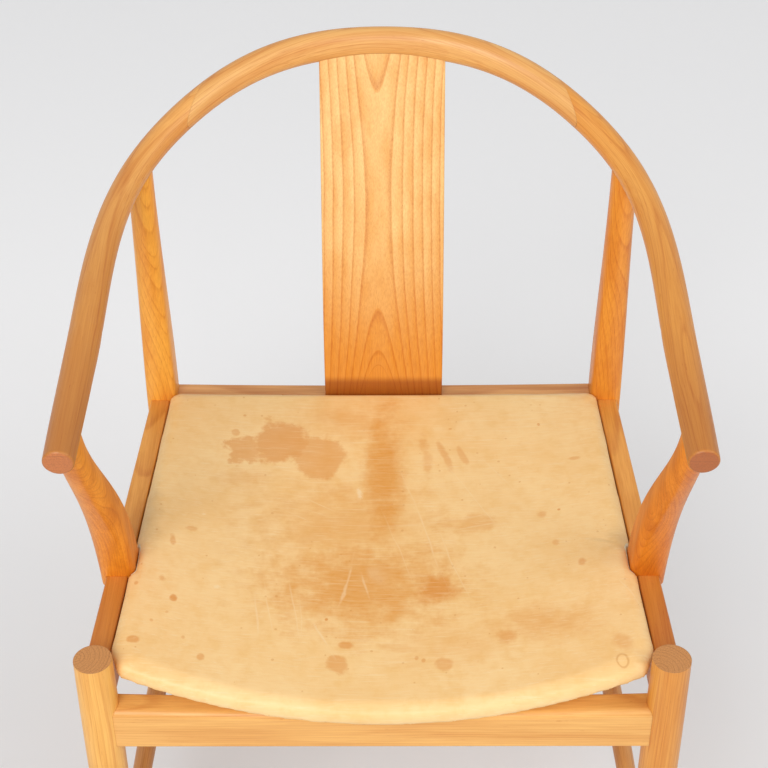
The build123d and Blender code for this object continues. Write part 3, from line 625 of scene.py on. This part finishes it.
def natural_leather():
    material, tree = new_material("natural_leather")
    position = in_millimetres(tree)
    drift = add(tree, "TexNoise", {"Vector": position, "Scale": 0.016, "Detail": 2.0}, out="Color")
    wavy = add(tree, "VectorMath", {0: drift, 1: (2 * WAVER, 2 * WAVER, 0), 2: position},
               operation="MULTIPLY_ADD")
    wavy = add(tree, "VectorMath", {0: wavy, 1: (WAVER, WAVER, 0)}, operation="SUBTRACT")
    ragged = add(tree, "TexNoise", {"Vector": position, "Scale": 0.055, "Detail": 7.0,
                                    "Roughness": 0.62})
    ragged = add(tree, "Math", {0: ragged, 1: 4.0, 2: -2.0}, operation="MULTIPLY_ADD")
    cloud = add(tree, "TexNoise", {"Vector": position, "Scale": 0.011, "Detail": 6.0,
                                   "Roughness": 0.62})
    mottle = add(tree, "TexNoise", {"Vector": position, "Scale": 0.06, "Detail": 4.0,
                                    "Roughness": 0.6})
    across = add(tree, "VectorMath", {0: wavy, 1: (0.14, 0.8, 0.4)}, operation="MULTIPLY")
    brushed = add(tree, "TexNoise", {"Vector": across, "Scale": 0.5, "Detail": 4.0})
    cloudy = add(tree, "MapRange", {0: cloud, 1: 0.34, 2: 0.70, 4: 0.55}, **SMOOTH)
    tone = add(tree, "Mix", {0: cloudy, 6: srgb("#F9D496"), 7: srgb("#F1C078")}, **COLOUR)
    mottled = add(tree, "MapRange", {0: mottle, 1: 0.40, 2: 0.75, 4: 0.40}, **SMOOTH)
    tone = add(tree, "Mix", {0: mottled, 6: tone, 7: srgb("#EDB868")}, **COLOUR)
    stroked = add(tree, "MapRange", {0: brushed, 1: 0.45, 2: 0.75, 4: 0.18})
    tone = add(tree, "Mix", {0: stroked, 6: tone, 7: srgb("#E8AE5E")}, **COLOUR)
    streaks = add(tree, "MapRange", {0: brushed, 1: 0.3, 2: 0.7, 3: 0.84, 4: 1.10})
    worn = add(tree, "Math", {0: marks(tree, wavy, ragged, HONEY), 1: streaks},
               operation="MULTIPLY", use_clamp=True)
    tone = add(tree, "Mix", {0: worn, 6: tone, 7: srgb("#DF9434")}, **COLOUR)
    spilt = marks(tree, wavy, ragged, SPILLS)
    tone = add(tree, "Mix", {0: spilt, 6: tone, 7: srgb("#DC8C30")}, **COLOUR)
    # painted shade beside the arm posts and along the folds
    post_shade = marks(tree, wavy, ragged, HIDE_SHADE_AT_POSTS)
    tone = add(tree, "Mix", {0: post_shade, 6: tone, 7: srgb("#BE9A68")}, **COLOUR)
    outer, inner = (marks(tree, wavy, ragged, ((*DROP, *half_sizes, 0, 0.25, 0.15, 0.6),))
                    for half_sizes in ((5.6, 7.0), (4.2, 5.4)))
    ring = add(tree, "Math", {0: outer, 1: inner}, operation="SUBTRACT")
    tone = add(tree, "Mix", {0: ring, 6: tone, 7: srgb("#CE8C3E")}, **COLOUR)
    away, chance = (add(tree, "TexVoronoi", {"Vector": wavy, "Scale": 1 / FRECKLE_STEP}, out=k)
                    for k in ("Distance", "Color"))
    chance = add(tree, "SeparateXYZ", {0: chance})
    reach = add(tree, "MapRange", {0: chance, 1: 0.45, 2: 1.0, 3: 0.0, 4: 0.17})
    freckle = add(tree, "Math", {0: reach, 1: away}, operation="SUBTRACT")
    freckle = add(tree, "MapRange", {0: freckle, 1: 0.0, 2: 0.05, 4: 0.38}, **SMOOTH)
    tone = add(tree, "Mix", {0: freckle, 6: tone, 7: srgb("#D2872F")}, **COLOUR)
    pale = marks(tree, wavy, ragged, SCRATCHES)
    for angle, amount in RUBBED:
        turned = add(tree, "Mapping", {0: wavy, 2: (0, 0, math.radians(angle)),
                                       3: (0.022, 0.75, 0.5)})
        rub = add(tree, "TexNoise", {"Vector": turned, "Scale": 1.0, "Detail": 2.0})
        rub = add(tree, "MapRange", {0: rub, 1: 0.58, 2: 0.72, 4: amount}, **SMOOTH)
        pale = add(tree, "Math", {0: pale, 1: rub}, operation="MAXIMUM")
    tone = add(tree, "Mix", {0: pale, 6: tone, 7: srgb("#FADFB0")}, **COLOUR)
    pebble = add(tree, "TexVoronoi", {"Vector": position, "Scale": 1 / PORE, "Randomness": 1.0})
    fine = add(tree, "TexNoise", {"Vector": position, "Scale": 0.5, "Detail": 4.0})
    skin_height = add(tree, "Math", {0: pebble, 1: 0.35, 2: fine}, operation="MULTIPLY_ADD")
    bump = add(tree, "Bump", {"Height": skin_height, "Strength": 0.22, "Distance": 0.0004})
    satin = add(tree, "MapRange", {0: mottle, 1: 0.3, 2: 0.7, 3: 0.52, 4: 0.42})
    surface = add(tree, "BsdfPrincipled", {"Base Color": tone, "Roughness": satin, "IOR": 1.5,
                                           "Normal": bump})
    add(tree, "OutputMaterial", {"Surface": surface})
    return material


leather = natural_leather()
dress(hide, leather)
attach(hide, "seat")
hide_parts("seat_leather")
print("leather nodes:", len(leather.node_tree.nodes))

# %% [markdown]
# ## Foam under the hide
# A thin sheet of cream upholstery foam softens the board. It is closed in, but
# it has its finish too: an open-cell foam is a matt, fine sponge.

# %% Foam
foam = joined_copy("seat_padding", "seat_foam")
sponge, tree = new_material("cream_foam")
position = in_millimetres(tree)
cells = add(tree, "TexVoronoi", {"Vector": position, "Scale": 1.1})
tone = add(tree, "Mix", {0: cells, 6: srgb("#D9CBA4"), 7: srgb("#F1E7C8")}, **COLOUR)
bump = add(tree, "Bump", {"Height": cells, "Strength": 0.6, "Distance": 0.0005})
surface = add(tree, "BsdfPrincipled", {"Base Color": tone, "Roughness": 0.9, "Normal": bump})
add(tree, "OutputMaterial", {"Surface": surface})
dress(foam, sponge)
smooth(foam)
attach(foam, "seat")
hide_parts("seat_foam")
print("foam:", len(foam.data.polygons), "faces")

# %% [markdown]
# ## Staples
# An upholsterer fixes the turned-in leather with a row of wire staples, about
# every 13 mm, never quite in line. One curve holds them all: four points for
# each, the two legs sunk in and the crown lying on the leather, and a round
# bevel gives the wire its thickness.

# %% Staples along the turned-in leather
STAPLE_STEP, CROWN, WIRE = 13.0, 10.0, 0.9     # mm
STAPLE_ROW = 9.0                               # mm from the leather's cut edge
shake = random.Random(7)
wire = bpy.data.curves.new("seat_staples", "CURVE")
wire.dimensions, wire.bevel_depth, wire.bevel_resolution = "3D", WIRE / 2 * MM, 2
row = outline_inside(TURN_IN - STAPLE_ROW)
gone = 0.0
for a, b in zip(row, row[1:] + row[:1]):
    gone += (b - a).length / MM
    if gone < STAPLE_STEP:
        continue
    gone = shake.uniform(-1.0, 1.0)
    spot = b + (b - centre).normalized() * shake.uniform(-1.2, 1.2) * MM
    hit, place, normal, _ = hide.ray_cast(Vector((spot.x, spot.y, UNDER_SEAT)),
                                          Vector((0, 0, 1)))
    if not hit:
        continue
    lean = (b - a).normalized()
    lean.rotate(Matrix.Rotation(shake.uniform(-0.25, 0.25), 2))
    side = Vector((lean.x, lean.y, 0)) * CROWN / 2 * MM
    up = normal * WIRE * 0.35 * MM
    spline = wire.splines.new("POLY")
    spline.points.add(3)
    for point, co in zip(spline.points, (place - side - up * 3, place - side + up,
                                         place + side + up, place + side - up * 3)):
        point.co = (*co, 1)
curve = placed("staple_wire", wire)
bpy.context.view_layer.update()
staples = placed("seat_staples", bpy.data.meshes.new_from_object(
    curve.evaluated_get(bpy.context.evaluated_depsgraph_get())))
bpy.data.objects.remove(curve)
print("staples:", len(wire.splines))

# %% [markdown]
# ## Screws
# Each cleat is held by countersunk slotted screws. A head is a lathed profile
# with a bar cut out for the slot. It is made once, and its mesh is then set
# into every hole, turned so that no two slots stand alike.

# %% Screw heads in the cleats
def screw_head():
    form = bmesh.new()
    profile = [(0, 0.55), (1.6, 0.5), (2.9, 0.3), (3.6, 0), (3.75, -0.4), (0, -0.4)]
    ring = [form.verts.new((r * MM, 0, z * MM)) for r, z in profile]
    edges = [form.edges.new(pair) for pair in zip(ring, ring[1:])]
    bmesh.ops.spin(form, geom=ring + edges, axis=(0, 0, 1), cent=(0, 0, 0), steps=28,
                   angle=2 * math.pi)
    bmesh.ops.remove_doubles(form, verts=form.verts, dist=1e-6)
    bmesh.ops.recalc_face_normals(form, faces=form.faces)
    head = placed("screw_head", bpy.data.meshes.new("screw_head"))
    form.to_mesh(head.data)
    form.clear()
    bmesh.ops.create_cube(form, size=1.0, matrix=Matrix.Diagonal((9 * MM, 0.9 * MM, 1.0 * MM, 1))
                          @ Matrix.Translation((0, 0, 0.6)))
    bar = placed("slot_bar", bpy.data.meshes.new("slot_bar"))
    form.to_mesh(bar.data)
    form.free()
    cut = head.modifiers.new("slot", "BOOLEAN")
    cut.solver, cut.object = "EXACT", bar
    settled(head)
    shape = head.data
    for helper in (head, bar):
        bpy.data.objects.remove(helper)
    return shape


# each hole: its cleat, a point in front of it in m, and the way to look for it
HOLES = [("seat_cleat_" + side, (way * 0.10, y, 0), (way, 0, 0))
         for side, way in (("left", 1), ("right", -1)) for y in (-0.185, -0.035, 0.105)]
HOLES += [("seat_cleat_back", (x, 0.05, 0), (0, 1, 0)) for x in (-0.15, 0.0, 0.15)]
HEIGHTS = [k * MM for k in range(395, 440)]    # where the cleats are looked for
head_shape = screw_head()
form = bmesh.new()
for node, begin, way in HOLES:
    cleat, begin = nodes[node], Vector(begin)
    hits = [z for z in HEIGHTS if cleat.ray_cast(Vector((begin.x, begin.y, z)), Vector(way))[0]]
    begin.z = sum(hits) / len(hits)
    _, place, normal, _ = cleat.ray_cast(begin, Vector(way))
    copy = head_shape.copy()
    copy.transform(Matrix.Translation(place) @ normal.to_track_quat("Z", "Y").to_matrix().to_4x4()
                   @ Matrix.Rotation(shake.uniform(0, math.pi), 4, "Z"))
    form.from_mesh(copy)
screws = placed("cleat_screws", bpy.data.meshes.new("cleat_screws"))
form.to_mesh(screws.data)
form.free()
print("screws:", len(HOLES))

# %% [markdown]
# ## Zinc-plated steel
# Staples and screws are cheap zinc-plated steel: a pale grey metal with a
# satin, slightly blotched surface. A metal takes its look from its colour and
# roughness alone, so the IOR stays as it is.

# %% Zinc-plated steel
zinc, tree = new_material("zinc_plated_steel")
position = in_millimetres(tree)
blotch = add(tree, "TexNoise", {"Vector": position, "Scale": 0.8, "Detail": 3.0})
tone = add(tree, "Mix", {0: blotch, 6: srgb("#A9ACAD"), 7: srgb("#D6D7D3")}, **COLOUR)
rough = add(tree, "MapRange", {0: blotch, 3: 0.25, 4: 0.5})
surface = add(tree, "BsdfPrincipled", {"Base Color": tone, "Metallic": 1.0, "Roughness": rough})
add(tree, "OutputMaterial", {"Surface": surface})
for piece, body in ((staples, "seat"), (screws, "frame")):
    dress(piece, zinc)
    smooth(piece)
    piece.data.set_sharp_from_angle(angle=math.radians(35))
    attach(piece, body)
print("metal pieces:", staples.name, screws.name)

# %% [markdown]
# ## Floor, light and camera
# A large plain floor that rises into a backdrop keeps the attention on the
# chair. The main light is one wide soft lamp high in front and a little to the
# left, so the faces that look forward are brighter than those that look up. A
# weaker lamp on the right and an even sky fill the shadows.

# %% Floor and backdrop
FLOOR_FRONT, FLOOR_BACK, SWEEP, WALL_TOP, HALF_WIDTH = -6.0, 3.4, 1.6, 7.0, 8.0    # m
SWEEP_STEPS = 12


def studio_sweep():
    mesh = bpy.data.meshes.new("studio_floor")
    profile = [(FLOOR_FRONT, 0.0), (FLOOR_BACK, 0.0)]
    for k in range(1, SWEEP_STEPS + 1):
        a = math.radians(90 * k / SWEEP_STEPS)
        profile.append((FLOOR_BACK + SWEEP * math.sin(a), SWEEP - SWEEP * math.cos(a)))
    profile.append((FLOOR_BACK + SWEEP, WALL_TOP))
    points = [(x, y, z) for x in (-HALF_WIDTH, HALF_WIDTH) for y, z in profile]
    n = len(profile)
    mesh.from_pydata(points, [], [(k, k + 1, n + k + 1, n + k) for k in range(n - 1)])
    return placed("studio_floor", mesh)


floor = studio_sweep()
smooth(floor)
paper, tree = new_material("studio_paper")
lit = add(tree, "BsdfPrincipled", {"Base Color": srgb("#E4E4E5"), "Roughness": 0.9,
                                   "Specular IOR Level": 0.1})
seen = [add(tree, "LightPath", out=ray) for ray in
        ("Is Camera Ray", "Is Glossy Ray", "Is Transmission Ray")]
seen = add(tree, "Math", {0: add(tree, "Math", {0: seen[0], 1: seen[1]}, operation="MAXIMUM"),
                          1: seen[2]}, operation="MAXIMUM")
behind = add(tree, "SeparateXYZ", {0: add(tree, "TexCoord", out="Object")}, out=1)
glow = add(tree, "MapRange", {0: behind, 1: -0.4, 2: 1.1, 3: 0.035, 4: 0.225}, **SMOOTH)
glow = add(tree, "Math", {0: glow, 1: seen}, operation="MULTIPLY")
glow = add(tree, "Emission", {"Color": srgb("#FFFFFF"), "Strength": glow})
add(tree, "OutputMaterial", {"Surface": add(tree, "AddShader", {0: lit, 1: glow})})
dress(floor, paper)
print("floor:", len(floor.data.polygons), "faces")

# %% [markdown]
# The sky gives about half of the light, as in a white room. The two lamps are
# broad discs, so no shadow has a hard edge.

# %% Light
SKY_STRENGTH = 0.58
sky = bpy.data.worlds.new("even_sky")
sky.use_nodes = True
background = sky.node_tree.nodes["Background"]
background.inputs["Color"].default_value = srgb("#FFFFFF")
background.inputs["Strength"].default_value = SKY_STRENGTH
scene.world = sky


def soft_lamp(name, place, aim, wide, power):
    data = bpy.data.lights.new(name, "AREA")
    data.shape, data.size, data.energy = "DISK", wide, power
    lamp = placed(name, data)
    lamp.location = place
    lamp.rotation_euler = (Vector(aim) - Vector(place)).to_track_quat("-Z", "Y").to_euler()
    return lamp


soft_lamp("key", (-0.9, -2.7, 2.4), (0, 0, 0.5), 2.0, 62)
soft_lamp("fill", (1.9, -1.2, 2.2), (0, 0, 0.5), 1.8, 16)
print("lamps: key and fill; sky strength", SKY_STRENGTH)

# %% [markdown]
# The camera stands where a person would: at eye height, in front of the chair,
# looking down on the seat. A long lens keeps the arms from spreading, and a
# slight roll is that of a camera held by hand.

# %% Camera
CAMERA_PLACE = (0.0090, -1.2669, 1.5353)       # m
TILT, TURN, ROLL = 52.813, 0.337, -0.32        # degrees
SENSOR, LENS = 36.0, 77.34                     # mm
camera = placed("camera", bpy.data.cameras.new("camera"))
camera.location = CAMERA_PLACE
camera.rotation_euler = (math.radians(TILT), 0, math.radians(TURN))
camera.rotation_euler.rotate_axis("Z", math.radians(ROLL))
camera.data.sensor_width, camera.data.lens = SENSOR, LENS
scene.camera = camera
print("camera at", [round(v, 3) for v in camera.location])
